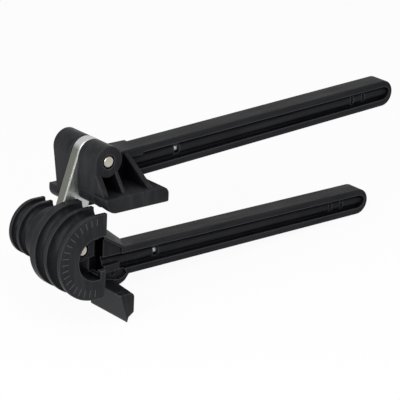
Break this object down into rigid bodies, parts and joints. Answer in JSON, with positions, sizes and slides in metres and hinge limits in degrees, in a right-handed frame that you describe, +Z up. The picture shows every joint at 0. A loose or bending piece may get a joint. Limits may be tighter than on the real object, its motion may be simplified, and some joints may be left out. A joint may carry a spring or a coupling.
{
  "type": "tube_bender",
  "caption": "Hand tube bender with a grooved former, a swinging steel link, a ribbed forming shoe and two long moulded handles",
  "frame": {"origin": "centre of the bounding box at the level of the bench", "axes": "+X along the handles away from the former, +Y along the pins to the rear, +Z up"},
  "size_m": [0.2684, 0.0596, 0.1037],
  "materials": {
    "black_plastic": "satin black glass-filled nylon",
    "zinc_link": "zinc plated steel",
    "bright_steel": "bright steel"
  },
  "bodies": {
    "lower": {"former_handle": "black_plastic", "lower_core_rod": "bright_steel", "former_pin": "bright_steel"},
    "link": {"link": "zinc_link"},
    "upper": {"shoe_handle": "black_plastic", "upper_core_rod": "bright_steel", "shoe_pin": "bright_steel"}
  },
  "joints": [
    {"name": "link_swing", "type": "hinge", "parent": "lower", "child": "link", "pos_m": [-0.10972, 0.00223, 0.04809], "axis": [0, -1, 0], "range_deg": [0, 180]},
    {"name": "handle_swing", "type": "hinge", "parent": "link", "child": "upper", "pos_m": [-0.08876, 0.00223, 0.09458], "axis": [0, -1, 0], "range_deg": [-8, 95]}
  ]
}
